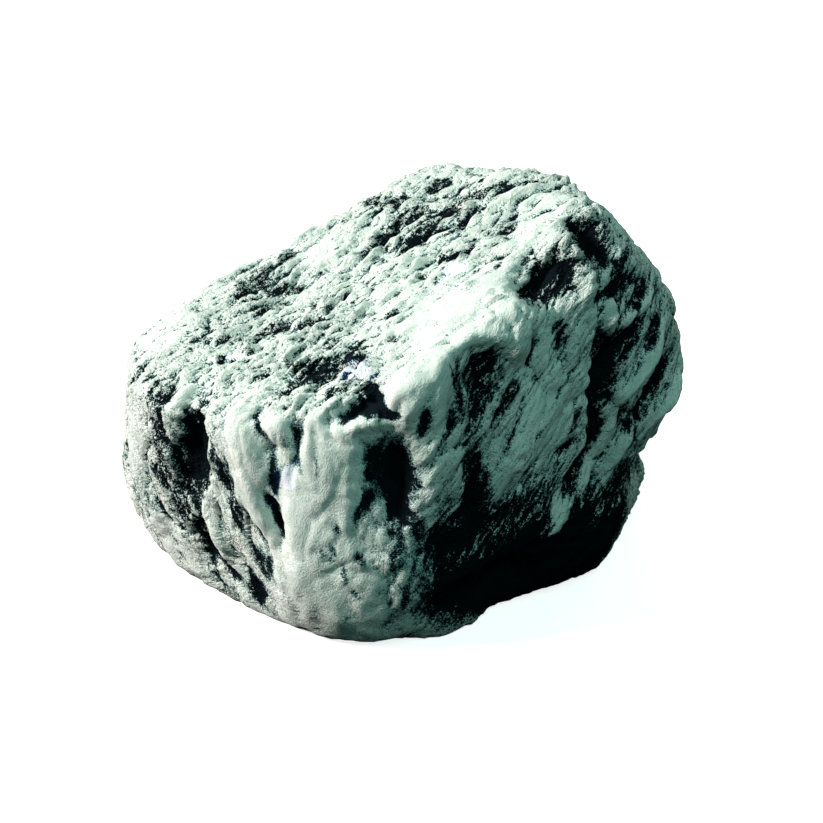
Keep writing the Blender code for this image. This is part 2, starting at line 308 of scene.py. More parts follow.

# Where more dark mineral shows, and where shade is painted in as dark: right, up,
# turn, half length, half width, and how much (below 0 keeps the stone clean).  They
# all have the same crown.
STAIN_CROWN = 1.4
STAINS_AND_PAINTED_SHADE = {
    "top": (
        (-16.7, -1.3, 109, 1.7, 1.0, 1.38),
        (-16.9, -5.8, 73, 1.3, 1.4, 0.92),
        (-16.3, -8.7, 131, 1.3, 0.7, 1.03),
        (-13.2, -5.3, 98, 1.4, 0.7, 1.38),
        (-11.7, -3.9, 88, 1.2, 0.7, 1.38),
        (-10.3, -6.7, 135, 1.4, 0.8, 1.15),
        (-11.7, -8.3, 65, 1.1, 0.7, 0.92),
        (-5.5, -3.0, 57, 1.4, 0.9, 1.26),
        (-6.9, -10.6, 77, 2.9, 1.1, 1.4),
        (-5.0, -8.0, 93, 1.6, 0.7, 1.15),
        (-10.4, -14.7, 57, 1.1, 0.7, 1.15),
        (-14.1, -16.8, 50, 1.1, 0.7, 1.15),
        (-5.8, -13.9, 81, 0.7, 0.6, 1.15),
        (-8.0, -16.9, 65, 0.5, 0.6, 1.03),
        (1.4, -11.4, 20, 1.3, 0.7, 1.4),
        (4.4, -9.9, 65, 2.3, 1.8, 1.4),
        (4.9, -12.2, 65, 1.6, 0.9, 1.26),
        (6.1, -5.4, 103, 1.8, 1.0, 1.4),
        (10.4, -9.0, 121, 1.0, 0.7, 1.38),
        (9.9, -11.0, 50, 1.1, 0.7, 1.26),
        (6.6, -10.5, 65, 1.2, 0.7, 0.92),
        (8.9, -1.0, 65, 1.2, 0.7, 1.26),
        (4.4, 1.1, 65, 1.6, 0.6, 1.03),
        (5.0, -14.8, 73, 1.0, 0.6, 1.15),
        (0.1, -15.0, 73, 1.2, 0.6, 1.15),
        (-13.6, 13.2, 60, 2.5, 1.0, 1.3),
        (-16.9, 11.9, 77, 1.3, 1.0, 1.1),
        (-9.1, 9.9, 86, 2.1, 0.7, 1.1),
        (-10.1, 14.1, 73, 1.6, 0.9, 1.15),
        (-9.9, 11.6, 96, 1.6, 0.9, 0.92),
        (-5.6, 13.3, 98, 3.5, 1.0, 1.4),
        (-5.6, 10.4, 88, 1.2, 0.7, 1.38),
        (-2.4, 16.0, 93, 2.2, 0.6, 1.38),
        (-3.3, 22.4, 57, 2.8, 0.9, 1.38),
        (-5.8, 19.9, 65, 1.2, 0.9, 1.26),
        (-11.4, 18.8, 65, 1.6, 1.1, 1.26),
        (-6.5, 16.8, 115, 1.4, 0.8, 1.38),
        (-4.1, 17.9, 50, 1.6, 0.8, 1.03),
        (3.6, 19.1, 50, 1.3, 0.6, 1.26),
        (3.2, 20.9, 121, 1.1, 0.6, 1.03),
        (-0.6, 26.1, 50, 1.4, 0.7, 1.03),
        (2.4, 12.1, 42, 1.7, 0.6, 2.0),
        (0.9, 11.2, 150, 0.8, 0.4, 1.8),
        (2.8, 13.9, 118, 1.4, 0.6, 0.9),
        (9.1, 10.0, 131, 1.3, 1.0, 1.03),
        (8.8, 13.1, 81, 2.2, 0.7, 0.8),
        (8.0, 15.0, 121, 1.4, 0.7, 0.69),
        (-9.0, 5.3, 65, 1.0, 0.7, 1.03),
        (-9.1, 7.9, 88, 1.8, 0.9, 0.8),
        (-2.5, -6.2, 73, 1.6, 0.7, 0.92),
        (2.5, -6.3, 81, 1.2, 0.9, 0.92),
        (-7.5, 13.3, 88, 5.9, 4.2, 0.3),
        (-14.9, -5.8, 96, 4.4, 3.4, 0.3),
        (5.4, -9.9, 57, 4.6, 2.7, 0.3),
        (-2.9, -5.4, 84, 3.8, 1.8, 0.25),
        (7.4, -6.2, 107, 1.2, 0.9, 0.9),
        (7.2, -6.4, 81, 2.5, 3.1, 0.3),
        (-14.2, 12.3, 50, 2.9, 3.0, 0.3),
        (8.6, 11.4, 81, 3.1, 2.0, 0.25),
        (14.3, -8.6, 148, 2.8, 1.3, 1.38),
        (10.2, 16.8, 92, 5.2, 3.4, -0.7),
        (9.6, 7.5, 86, 6.5, 3.5, -0.9),
        (8.8, -0.1, 81, 3.5, 2.3, -0.4),
        (-12.4, 2.7, 85, 6.9, 3.8, -0.4),
        (-9.3, -4.3, 74, 3.2, 2.2, -0.2),
        (2.8, 3.0, 77, 3.8, 2.6, -0.3),
        (-19.1, -19.8, 81, 3.9, 3.4, -0.4),
        (5.5, 24.2, 63, 3.6, 2.8, -0.5),
        (15.0, -5.8, 108, 4.1, 2.1, -0.5),
        (14.3, 0.7, 116, 4.5, 2.1, -0.5),
        (14.2, 6.3, 104, 5.6, 2.6, -0.7),
    ),
    "front_left": (
        (-7.2, 1.7, 97, 2.2, 0.6, 0.8),
        (-5.2, -4.4, 118, 2.5, 0.5, 0.8),
        (-2.8, -9.7, 117, 2.6, 0.9, 0.8),
        (-3.5, -15.2, 97, 1.7, 1.3, 0.8),
        (-15.0, -11.6, 123, 2.0, 1.2, 0.8),
        (-17.6, -3.5, 131, 1.7, 1.0, 0.8),
        (-7.3, -11.6, 99, 2.2, 0.5, 0.8),
        (-19.4, 8.0, 107, 1.8, 0.9, 1.0),
        (-17.3, 5.2, 95, 3.6, 0.6, 1.0),
        (-17.1, 8.8, 91, 1.8, 1.0, 1.0),
        (-12.6, 2.8, 86, 6.6, 2.0, 1.4),
        # Painted shade: grey on the right side of a pale lobe, which turns from the light.
        (-10.8, 9.9, 66, 3.0, 1.1, 0.7),
        (-16.6, 0.6, 107, 5.4, 1.8, 0.9),
        (-20.1, -1.5, 145, 2.8, 0.7, 0.9),
        (-19.7, -8.5, 125, 2.0, 1.5, 0.7),
        (-14.9, -7.7, 145, 2.4, 2.2, 0.8),
        (-6.6, 1.6, 92, 2.4, 1.5, 1.2),
        (-9.2, 2.4, 67, 6.0, 0.7, 0.8),
        (-5.2, -3.0, 92, 2.9, 1.1, 1.0),
        (-11.5, -10.5, 92, 3.0, 2.0, 1.2),
        (-8.4, -13.4, 145, 2.8, 1.2, 1.2),
        (-2.1, -4.3, 122, 3.3, 0.9, 1.0),
        (-1.3, -9.6, 93, 2.0, 1.3, 1.2),
        (-3.9, -14.7, 107, 2.1, 1.8, 1.2),
        (0.7, -1.5, 111, 3.7, 0.6, 1.2),
        (3.1, 10.3, 94, 4.0, 1.1, 1.0),
        (3.5, 6.3, 23, 1.9, 0.8, 1.0),
        (1.9, 4.6, 49, 2.5, 0.9, 0.9),
        (-1.2, 9.9, 135, 1.8, 0.4, 1.2),
        (-23.2, -2.0, 79, 9.0, 3.0, -0.5),
        (-12.7, 9.6, 175, 3.5, 1.2, -0.6),
        (-18.4, -11.4, 132, 4.9, 3.6, -0.4),
        (-7.7, -11.6, 138, 4.3, 1.4, -0.5),
        (-0.3, 11.8, 161, 3.0, 1.0, -0.5),
        (-12.6, 1.0, 86, 7.0, 2.8, 0.5),
    ),
    "nose": (
        (-13.3, -0.6, 92, 3.4, 0.6, 1.0),
        (-12.2, -17.1, 109, 3.4, 0.4, 0.9),
        (-12.0, 4.8, 95, 1.9, 0.5, 0.8),
        (-9.9, 1.3, 100, 2.0, 0.4, 0.8),
        (-7.9, 1.6, 94, 1.8, 0.3, 1.0),
        (-6.1, -8.4, 116, 1.1, 0.4, 1.0),
        (-3.0, -9.7, 120, 1.2, 0.6, 1.0),
        (1.2, -9.6, 80, 1.8, 0.7, 0.8),
        (-4.5, -18.1, 29, 1.3, 0.4, 0.6),
        (2.3, -15.2, 84, 1.8, 0.5, 0.9),
        (-2.2, 10.5, 90, 1.8, 1.0, 1.0),
        (0.0, 9.0, 173, 2.2, 0.7, 1.0),
        (-4.2, 8.2, 31, 1.8, 0.7, 0.9),
        (-1.5, 2.0, 88, 2.9, 1.4, 1.2),
        (1.5, -0.4, 90, 5.2, 1.4, 1.6),
        (0.6, 1.2, 90, 5.0, 2.6, 0.3),
        (-0.9, 10.1, 135, 2.4, 0.7, 1.1),
        (-2.4, -2.6, 60, 2.2, 0.6, 0.7),
        (3.1, 0.4, 95, 3.0, 1.1, 0.8),
        (-2.6, -3.8, 70, 1.8, 1.0, 0.5),
        (-7.2, -9.4, 150, 1.9, 0.9, 1.1),
        (-4.6, -12.1, 94, 1.5, 0.5, 1.2),
        (-3.4, -14.6, 123, 1.1, 0.4, 1.1),
        (-4.3, -18.9, 150, 1.2, 0.5, 0.8),
        (-5.6, -6.2, 64, 1.2, 0.7, 0.8),
        # Painted shade: the nose's low right, where shade falls, painted black.
        (8.0, -17.0, 65, 3.8, 2.0, 2.4),
        (-10.6, -7.0, 95, 8.6, 2.4, -0.7),
        # Painted shade: this broad row darkens the right of the nose, which turns from the light.
        (0.4, -9.0, 100, 11.0, 5.6, 0.34),
    ),
    "front_right": (
        (-10.8, 5.9, 76, 2.1, 0.8, 1.0),
        (-13.2, 9.0, 66, 1.5, 0.4, 1.1),
        # Painted shade: grey on the right half of a lobe, which turns from the light.
        (-9.4, 8.6, 70, 3.4, 1.6, 0.35),
        (-11.6, 9.6, 66, 1.6, 0.3, 0.7),
        (-12.4, -6.9, 94, 2.2, 0.8, 1.0),
        # Painted shade: this row and the next paint the low flank black where shade falls.
        (-3.5, -17.6, 165, 6.2, 2.8, 2.4),
        (8.5, -21.5, 5, 7.5, 4.2, 2.4),
        (-8.3, -10.2, 172, 3.4, 2.2, 1.0),
        (-4.5, -7.4, 70, 4.4, 1.5, 1.1),
        # Painted shade: the low flank painted black where shade falls.
        (17.8, -17.0, 30, 4.4, 3.0, 2.4),
        (-1.6, 9.8, 80, 4.8, 2.0, 1.1),
        (-5.4, 9.2, 90, 4.9, 0.8, 0.9),
        (0.2, 5.3, 46, 3.1, 0.9, 1.0),
        (-4.0, 3.2, 65, 2.4, 1.2, 0.9),
        (-5.3, 0.3, 95, 2.6, 0.8, 1.0),
        (-4.1, -3.6, 84, 3.5, 1.5, 1.0),
        (-1.2, -8.4, 5, 3.4, 1.2, 0.9),
        (4.6, -12.0, 19, 4.6, 0.9, 0.9),
        (10.0, -13.6, 30, 3.6, 1.2, 1.0),
        (7.0, -5.0, 50, 12.0, 7.0, 0.1),
        (11.1, -7.1, 42, 4.2, 0.9, 1.0),
        (14.2, 1.8, 90, 7.2, 0.9, 1.2),
        (9.1, 11.5, 83, 2.2, 0.9, 1.0),
        (4.9, 10.2, 66, 2.0, 0.5, 0.9),
        (8.9, -3.0, 9, 1.9, 0.4, 0.8),
        (1.8, 6.3, 46, 1.8, 0.6, 0.8),
        (-6.5, 11.5, 108, 2.9, 0.4, 1.0),
        (-7.6, 4.6, 43, 3.7, 0.6, 0.8),
        (8.5, 20.4, 166, 4.0, 3.6, 2.3),
        (16.6, 22.6, 60, 4.0, 3.0, 1.9),
        (18.0, 7.4, 46, 5.0, 1.8, 0.9),
        (15.8, 6.0, 88, 5.0, 1.2, 1.2),
        (17.4, 15.3, 5, 3.2, 0.9, 1.0),
        (21.2, 13.7, 32, 2.1, 1.0, 0.8),
        (23.0, 0.4, 42, 4.2, 1.4, 1.3),
        (18.9, -3.3, 107, 3.7, 1.0, 1.0),
        (17.4, -10.8, 42, 3.4, 1.3, 1.0),
        (3.5, 17.2, 25, 5.7, 1.6, -0.6),
        (7.0, -11.6, 50, 3.2, 1.9, -1.1),
        (7.0, 10.2, 34, 4.7, 3.0, -0.2),
        (2.6, 3.8, 43, 5.9, 2.6, -0.2),
        (-3.3, -3.6, 54, 4.9, 2.6, -0.3),
        (7.9, 1.0, 50, 5.3, 2.1, -0.4),
        (-9.3, 5.3, 52, 4.1, 1.4, -0.4),
        (13.2, -7.7, 42, 3.6, 1.9, -0.5),
        (5.0, 6.6, 46, 4.0, 0.4, 0.6),
        (8.6, 5.4, 50, 3.6, 0.4, 0.6),
        (4.4, 0.2, 46, 4.4, 0.4, 0.6),
        (0.4, 0.6, 52, 3.6, 0.4, 0.7),
        (10.0, -0.6, 60, 4.0, 0.5, 0.7),
        (19.0, 10.0, 70, 3.6, 0.7, 0.9),
        (22.6, 6.4, 60, 4.0, 0.6, 0.9),
        (15.0, 18.6, 70, 3.0, 0.8, 0.9),
        (19.6, 17.8, 30, 3.0, 0.6, 0.8),
        (19.0, 12.0, 80, 7.0, 5.0, 0.3),
        (15.5, 9.0, 80, 5.0, 3.0, 0.4),
        (25.0, 6.0, 70, 8.0, 4.0, 0.3),
    ),
    "front_foot": (
        # Painted shade: the front foot, turned down from the light, painted black.
        (6.0, -4.0, 0, 12.0, 8.0, 2.4),
    ),
    "right_foot": (
        # Painted shade: the right foot, turned down from the light, painted dark.
        (12.0, -5.5, 157, 9.0, 4.0, 1.2),
    ),
    "left": (
        (-8.0, -8.0, 110, 6.0, 1.1, 0.9),
        (-3.0, 1.0, 100, 5.0, 0.9, 0.8),
        (-12.0, -1.0, 80, 4.0, 1.1, 0.9),
        (-2.0, -15.0, 120, 5.0, 1.2, 0.8),
    ),
    "back_left": (
        (-1.0, 4.0, 110, 7.0, 1.3, 0.9),
        (4.0, -10.0, 70, 5.0, 1.5, 0.8),
        (-9.0, -5.0, 60, 4.0, 1.1, 0.9),
        (-3.0, -12.0, 140, 6.0, 1.4, 1.0),
        (10.0, 5.0, 30, 4.0, 1.3, 0.8),
        (16.0, -2.0, 75, 6.0, 0.9, 0.9),
        (2.0, -2.0, 95, 9.0, 6.0, 0.2),
    ),
    "back_right": (
        (1.0, -6.0, 100, 7.0, 1.1, 0.9),
        (-8.0, -6.0, 60, 5.0, 1.3, 0.8),
        (5.0, 7.0, 120, 5.0, 1.3, 0.9),
        (10.0, -4.0, 80, 4.0, 1.1, 0.9),
        (-3.0, -17.0, 20, 6.0, 1.3, 0.8),
        (5.0, -12.0, 60, 4.0, 1.3, 0.9),
        (0.0, 0.0, 100, 9.0, 6.0, 0.2),
    ),
}


def face_frame(name):
    """Middle of a face and its right, up and outward directions."""
    bearing, slope, distance = FACES[name]
    out = outward(bearing, slope)
    right = np.cross((0.0, 0.0, 1.0), out)
    right /= np.linalg.norm(right)
    return out * distance, right, np.cross(out, right), out


def from_middle(points, face, right, up, turn):
    """How far points lie along, across and out of a form, whose middle is right of and above
    the face's middle and whose long axis is turned from the face's right."""
    middle, right_way, up_way, out = face_frame(face)
    angle = np.radians(turn)
    long_way = np.cos(angle) * right_way + np.sin(angle) * up_way
    offset = points - (middle + right * right_way + up * up_way)
    return offset @ long_way, offset @ np.cross(out, long_way), offset @ out


def bell(points, face, right, up, turn, half_length, half_width, crown):
    """exp(-(r^2)^crown), r being the distance from the form's middle in its half sizes."""
    along, across, depth = from_middle(points, face, right, up, turn)
    squares = (along / half_length) ** 2 + (across / half_width) ** 2
    squares += (depth / max(half_length, half_width, LEAST_DEPTH)) ** 2
    return np.exp(-squares ** crown)


def plate(points, face, right, up, turn, half_length, half_width):
    """A wedge: 0 along its near long edge, rising evenly to 1 at its far long edge, where it
    breaks off, times exp(-along^4 - depth^2), which fades it towards its ends."""
    along, across, depth = from_middle(points, face, right, up, turn)
    along = along / half_length
    across = across / half_width + PLATE_BOW * along ** 2
    broken = np.clip(1 - (across - 1) * half_width / BREAK_WIDTH, 0.0, 1.0)
    wedge = np.clip((across + 1) / 2, 0.0, 1.0) * broken
    return wedge * np.exp(-along ** 4 - (depth / LEAST_DEPTH) ** 2)


def lobes_and_gaps(points):
    """Height and dark mineral of the forms: each adds its amount times its bell."""
    rows = [(face, *row) for face, rows in PLATES.items() for row in rows]
    height = sum(row[-1] * plate(points, *row[:-1]) for row in rows)
    dark = np.zeros(len(points))
    for face, rows in FORMS.items():
        for *ellipse, rise, crown, mineral_and_painted_shade in rows:
            swell = bell(points, face, *ellipse, crown)
            height += rise * swell
            dark += mineral_and_painted_shade * swell
    return height, dark


def stains_and_painted_shade(points):
    """Darkness of the stain rows, summed likewise: dark minerals, and painted shade where rows stand
    for shade.
    """
    rows = [(face, *row) for face, rows in STAINS_AND_PAINTED_SHADE.items() for row in rows]
    return sum(row[-1] * bell(points, *row[:-1], STAIN_CROWN) for row in rows)


SETTLE_ROUNDS = 5
SETTLE_REACH = 6


def settled_grid(ways):
    """The grid slid along the stone until its cells are about even in size on the lobes and
    down the walls of the pits too: each round moves a point level towards its neighbours."""
    for _ in range(SETTLE_ROUNDS):
        points, normals = block(ways)
        formed = points + normals * lobes_and_gaps(points)[0][:, None]
        shift = spread(formed, SETTLE_REACH) - formed
        shift -= (shift * normals).sum(axis=1, keepdims=True) * normals
        ways = points + shift
    return ways


block_points, block_normals = block(settled_grid(grid_points))
form_height, form_dark = lobes_and_gaps(block_points)
form_dark += stains_and_painted_shade(block_points)
formed_points = block_points + block_normals * form_height[:, None]

# ---------------------------------------------------------------------------------
# Foliation.  The mineral lies in long lenses that overlap like shingles, each side
# with its own grain.  Broad lenses carry small puffs, with a rough skin over both.
# ---------------------------------------------------------------------------------
# Each side: where it looks (bearing, slope), the way its lenses run, the size of a
# broad lens, its crown and its step, the size of a small puff and its height, and how
# rough the side is.
GRAINS = {
    "top": ((211, 67), (0.81, 0.42, 0.40), (9.0, 3.6, 4.0), 0.8, 0.6, (4.2, 1.5, 2.0), 1.5, 0.22),
    "left": ((210, -3), (0.34, -0.23, -0.91), (11.0, 3.2, 4.5), 1.0, 0.8, (5.0, 1.5, 2.0), 0.8, 0.30),
    "nose": ((262, 4), (0.05, -0.10, -1.00), (10.0, 5.0, 5.5), 0.5, 0.1, (4.0, 2.2, 2.6), 0.6, 0.10),
    "flank": ((306, 9), (0.50, 0.46, 0.73), (10.0, 3.6, 5.5), 1.0, 0.5, (4.4, 1.5, 2.6), 0.8, 0.28),
    "end": ((350, 10), (0.10, 0.50, 0.86), (9.0, 3.2, 4.0), 1.1, 0.5, (4.0, 1.4, 1.8), 0.6, 0.25),
    "back": ((95, 10), (0.85, 0.00, 0.50), (10.0, 4.0, 5.0), 1.3, 0.8, (4.4, 1.8, 2.2), 0.9, 0.28),
    "under": ((0, -90), (0.70, 0.70, 0.00), (9.0, 4.0, 5.0), 0.6, 0.3, (3.6, 1.5, 2.0), 0.5, 0.30),
}

# How sharply one side's grain gives way to the next, the least share that is worked out,
# a seam's width as a share of a lens, and the means that lenses and puffs are counted from.
GRAIN_FOCUS = 12
LEAST_SHARE = 0.01
SEAM_WIDTH = 0.16
LENS_MEAN = 0.45
PUFF_MEAN = 0.45
PUFF_OCTAVES = 2

# How the lenses bend and the puffs ripple, along, across and out of the side, each over
# its own length, and the length of the patches of rougher skin.
SWAY_LENGTH = 8.0
SWAY = np.array((2.5, 1.6, 1.8))
RIPPLE_LENGTH = 3.0
RIPPLE = np.array((1.0, 0.4, 0.5))
PATCH_LENGTH = 7.0

# Seeds of the random numbers: each side has its own hundred, and each lens its own number.
SWAY_SEED = 11
RIPPLE_SEED = 21
PATCH_SEED = 5
SIDE_SEEDS = 100
LENS_SEED = 3
LENS_OWN_SEED = 9
PUFF_SEED = 40

# Large odd numbers that scatter a cell's place and seed, and the bits that are kept.
CELL_FACTORS = np.array((73856093, 19349663, 83492791))
SEED_FACTOR = 2654435761
SCATTER_FACTORS = (1274126177, 2246822519)
WORD_BITS = 0x7FFFFFFF
NUMBER_BITS = 0xFFFFFF

# The twelve directions from a cube's middle to its edges.
SLOPES = np.array([way for way in np.ndindex(3, 3, 3) if way.count(1) == 1]) - 1.0


def lattice_number(cell, seed):
    """Repeatable number from 0 to 1 for each lattice cell: the cell's place and the seed,
    each times a large factor, folded onto themselves and multiplied again."""
    mixed = cell @ CELL_FACTORS + seed * SEED_FACTOR
    for factor in SCATTER_FACTORS:
        mixed = (mixed ^ (mixed >> 13)) * factor & WORD_BITS
    return ((mixed ^ (mixed >> 12)) & NUMBER_BITS) / NUMBER_BITS


def lattice_noise(points, seed):
    """Smooth noise, about -1 to 1: each lattice corner's slope times the way from it, blended
    by the quintic step 6t^5 - 15t^4 + 10t^3 along each axis."""
    cell = np.floor(points).astype(np.int64)
    inside = points - cell
    blend = inside ** 3 * (inside * (inside * 6 - 15) + 10)
    total = np.zeros(len(points))
    for corner in np.ndindex(2, 2, 2):
        weight = np.where(corner, blend, 1 - blend).prod(axis=1)
        slope = SLOPES[(lattice_number(cell + corner, seed) * (len(SLOPES) - 0.001)).astype(int)]
        total += weight * ((inside - corner) * slope).sum(axis=1)
    return total


def puffs(points, octaves, seed):
    """Rounded lumps with sharp creases between, 0 to about 1: the size of smooth noise,
    with each octave half as large as the one before."""
    return sum(np.abs(lattice_noise(points * 2 ** k, seed + k)) / 2 ** k for k in range(octaves))


def sway(points, length, seed):
    """Three smooth noises, to bend a pattern's coordinates."""
    return np.stack([lattice_noise(points / length, seed + k) for k in range(3)], axis=1)


def lens_cells(points, seed):
    """For each point its distance to the nearest and the second nearest of one seed point
    in every lattice cell, and the nearest seed's own number."""
    cell = np.floor(points).astype(np.int64)
    nearest = np.full(len(points), np.inf)
    second = nearest.copy()
    number = np.zeros(len(points))
    for shift in np.ndindex(3, 3, 3):
        other = cell + shift - 1
        place = np.stack([lattice_number(other, seed + k) for k in (1, 2, 3)], axis=1)
        distance = np.linalg.norm(points - other - place, axis=1)
        closer = distance < nearest
        second = np.where(closer, nearest, np.minimum(second, distance))
        number = np.where(closer, lattice_number(other, seed + LENS_OWN_SEED), number)
        nearest = np.where(closer, distance, nearest)
    return nearest, second, number


def lenses(points, size, seed):
    """Crown of a lens, which falls with the square of the distance to the lens's middle, its
    own step up or down, and 1 in the seam beside it."""
    nearest, second, number = lens_cells(points / size, seed)
    seam = np.clip(1 - (second - nearest) / SEAM_WIDTH, 0.0, 1.0)
    return LENS_MEAN - nearest ** 2, number - 0.5, seam


def grain_axes(side):
    """A side's unit ways along its lenses, across them and outward: the grain's way less its
    outward part, the cross of the other two, and the way that the side looks."""
    looks, grain, *_ = GRAINS[side]
    out = outward(*looks)
    long_way = np.array(grain) - (np.array(grain) @ out) * out
    long_way /= np.linalg.norm(long_way)
    return long_way, np.cross(out, long_way), out


def foliation(points, normals):
    """Broad height, fine height, seams and roughness, each side's own summed by its share,
    and the shares: exp(focus * normal . side) over the sum of that for all sides."""
    ways = np.array([outward(*looks) for looks, *_ in GRAINS.values()])
    share = np.exp(GRAIN_FOCUS * (normals @ ways.T))
    share /= share.sum(axis=1, keepdims=True)
    broad, fine, seams, rough = np.zeros((4, len(points)))
    bend = sway(points, SWAY_LENGTH, SWAY_SEED) * SWAY
    ripple = sway(points, RIPPLE_LENGTH, RIPPLE_SEED) * RIPPLE
    for index, (side, row) in enumerate(GRAINS.items()):
        _, _, big, big_rise, big_step, small, small_rise, roughness = row
        here = share[:, index] > LEAST_SHARE
        part = share[here, index]
        bent = points[here] @ np.stack(grain_axes(side), axis=1) + bend[here]
        crown, step, seam = lenses(bent, big, SIDE_SEEDS * index + LENS_SEED)
        broad[here] += part * (big_rise * crown + big_step * step)
        seams[here] += part * seam
        bent = (bent + ripple[here]) / small
        puff = puffs(bent, PUFF_OCTAVES, SIDE_SEEDS * index + PUFF_SEED) - PUFF_MEAN
        fine[here] += part * small_rise * puff
        rough[here] += part * roughness
    return broad, fine, seams, rough, dict(zip(GRAINS, share.T))


broad, fine, seams, rough, side_share = foliation(formed_points, block_normals)

# ---------------------------------------------------------------------------------
# The skin.  Weather keeps the crowns of the lobes clean and smooth, and leaves the
# stone bare and crumbly where dark mineral shows.  Each point stores how coarse it is
# and how deep it lies, for the finish to read.
# ---------------------------------------------------------------------------------
PATCHINESS = 1.2
BARE_ROUGHNESS = 0.6
NOSE_CALM = 0.6
CLEAN_SMOOTHNESS = 0.35
COARSE_LIMITS = (0.05, 0.9)
MOST_DARK = 3.0
BARE_RAMP = (0.375, 1.0)
FILLED_RAMP = (1.2, 2.2)
LEAST_PUFF = 0.75
CLEAN_PUFF = 0.8
SEAM_DEPTH = 0.12
SKIN_ROUNDS = 3
NEAR_ROUNDS = 4
FAR_ROUNDS = 30


def even_rise(values, low, high):
    """0 up to low, 1 from high, and an even rise between."""
    return np.clip((values - low) / (high - low), 0.0, 1.0)


def surface_normals(points, quads):
    """Outward direction at each point: the sum of its quads' crossed diagonals."""
    corners = points[quads]
    crossed = np.cross(corners[:, 2] - corners[:, 0], corners[:, 3] - corners[:, 1])
    sums = [np.bincount(quads.ravel(), np.repeat(crossed[:, k], 4), len(points)) for k in range(3)]
    normals = np.stack(sums, axis=1)
    return normals / np.linalg.norm(normals, axis=1, keepdims=True)


# How coarse the skin is: the side's roughness in patches, more where it is bare and not yet
# filled with dark mineral, and less where it is clean.
# The dark measure holds dark minerals and painted shade; it may reach MOST_DARK so that the painted
# shade of the low flank and feet turns fully black.
dark = np.clip(form_dark, 0.0, MOST_DARK)
clean = np.clip(-form_dark, 0.0, 1.0)
patches = 1 + PATCHINESS * lattice_noise(formed_points / PATCH_LENGTH, PATCH_SEED)
bare = even_rise(dark, *BARE_RAMP) * (1 - even_rise(dark, *FILLED_RAMP))
bare *= BARE_ROUGHNESS * (1 - NOSE_CALM * side_share["nose"])
coarse = np.clip(rough * patches + bare - CLEAN_SMOOTHNESS * clean, *COARSE_LIMITS)

# The broad heights move a point along the block's outward way, and the fine ones along the
# broad surface's own.  The stone is cut off level where it rests.
broad_height = form_height + broad
broad_points = block_points + block_normals * broad_height[:, None]
fine_height = fine * (LEAST_PUFF + coarse) * (1 - CLEAN_PUFF * clean) - seams * SEAM_DEPTH
fine_ways = spread(surface_normals(broad_points, stone_quads), SKIN_ROUNDS)
stone_points = HEART + broad_points + fine_ways * fine_height[:, None]
stone_points[:, 2] = np.maximum(stone_points[:, 2], 0.0)

# How deep a point lies in a narrow gap, and in a wide hollow: the mean height around it
# less its own, and the mean height far around less the near one.
# The finish darkens the stone by these: painted shade in its creases and hollows, and the dark
# minerals held there.
height = broad_height + fine_height
near = spread(height, NEAR_ROUNDS)
crevice = near - height
hollow = spread(near, FAR_ROUNDS) - near

# Painted glints, pale lilac highlights on a few spots: face, right, up, turn, half length, half
# width.
GLINT_CROWN = 1.0
PAINTED_GLINTS = (
    ("top", 9.3, -6.7, 29, 1.8, 1.3),
    ("top", 4.7, 10.9, 60, 1.6, 1.2),
    ("nose", -11.4, 0.0, 75, 1.7, 1.0),
)
glint = sum(bell(block_points, *row, GLINT_CROWN) for row in PAINTED_GLINTS)


def stone_mesh():
    """The stone as one closed mesh, with its measures stored at each point.  The back and the
    underside have the top's streaks."""
    mesh = bpy.data.meshes.new("howlite")
    mesh.from_pydata((stone_points * MM).tolist(), [], stone_quads.tolist())
    measures = {
        "crevice": crevice,
        "hollow": hollow,
        "dark": dark,
        "clean": clean,
        "coarse": coarse,
        "glint": glint,
        "top": side_share["top"] + side_share["back"] + side_share["under"],
        "left": side_share["left"],
        "nose": side_share["nose"],
    }
    for name, values in measures.items():
        attribute = mesh.attributes.new(name, "FLOAT", "POINT")
        attribute.data.foreach_set("value", values.astype(np.float32))
    mesh.shade_smooth()
    return mesh


# ---------------------------------------------------------------------------------
# The finish.  Howlite is a matt, chalky white borate with grey veins, and near-black
# mineral fills its gaps and grooves.  Painted shade darkens the creases, the hollows and
# the shaded low flank as well.  It is unpolished, so its streaks, crumbs and grains
# show, and a few spots carry painted lilac glints with painted blue fringes beside them.
# ---------------------------------------------------------------------------------
WHITE = (0.86, 0.92, 0.84, 1.0)
CHALK = (0.62, 0.71, 0.64, 1.0)
GREY = (0.15, 0.28, 0.27, 1.0)
BLACK = (0.002, 0.006, 0.009, 1.0)
# Painted highlight colours: the blue fringe beside the glints and the lilac of the glints.
PAINTED_FRINGE_BLUE = (0.003, 0.015, 0.07, 1.0)
PAINTED_GLINT_LILAC = (0.90, 0.93, 1.0, 1.0)
STONE_ROUGHNESS = 0.8
STONE_SPECULAR = 0.06
RELIEF_HEIGHT = 0.6 * MM

# Each side: the size of its streaks, how strongly they show, and how gritty it is.
STREAKS = {
    "top": ((2.2, 0.5, 0.6), 1.1, 0.9),
    "left": ((2.6, 0.4, 0.6), 1.1, 0.8),
    "nose": ((1.6, 0.9, 0.9), 0.6, 0.4),
    "flank": ((2.6, 0.36, 1.4), 1.4, 0.6),
}

# Noises: lumps to a millimetre (to a streak's size, for streaks), octaves, and how much
# each finer octave counts.
NOISES = {
    "bend": (0.9, 2.0, 0.5),
    "streak": (1.0, 3.0, 0.68),
    "clump": (1.5, 3.0, 0.6),
    "grit": (4.4, 1.5, 0.7),
    "grain": (6.0, 1.0, 0.6),
    "speck": (5.0, 1.0, 0.5),
    "speck field": (0.7, 3.0, 0.6),
    "cloud": (0.16, 3.0, 0.5),
}
SPECK_RAMP = (0.58, 0.68)
SPECK_FIELD_RAMP = (0.45, 0.6)

